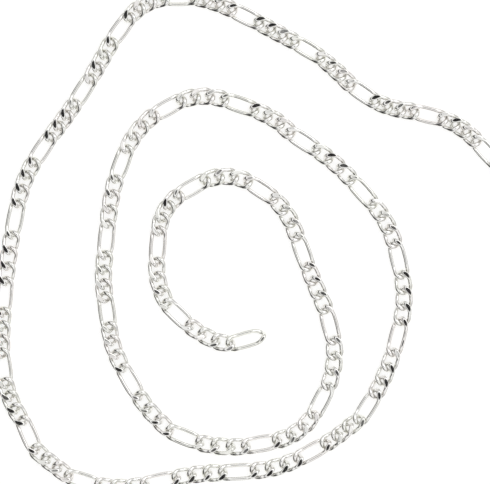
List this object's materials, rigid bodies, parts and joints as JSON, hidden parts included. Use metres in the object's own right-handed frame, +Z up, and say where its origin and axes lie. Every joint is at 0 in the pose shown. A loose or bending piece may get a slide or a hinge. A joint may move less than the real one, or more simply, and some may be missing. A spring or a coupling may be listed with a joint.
{
  "type": "figaro chain",
  "caption": "Figaro neck chain lying loose in a flat spiral: long oval links alternate with groups of short ones, all twisted, pressed flat and interlocked, in a polished silver colour.",
  "frame": {"origin": "centre of the box around the laid chain, on the surface that it lies on", "axes": "+Z up from that surface, +X to the right and +Y to the top of the picture"},
  "size_m": [0.126, 0.1234, 0.0033],
  "materials": {
    "inner_chain": "polished silver plate",
    "outer_chain": "polished silver plate"
  },
  "bodies": {
    "root": {"inner_chain": "inner_chain", "outer_chain": "outer_chain"}
  },
  "joints": []
}
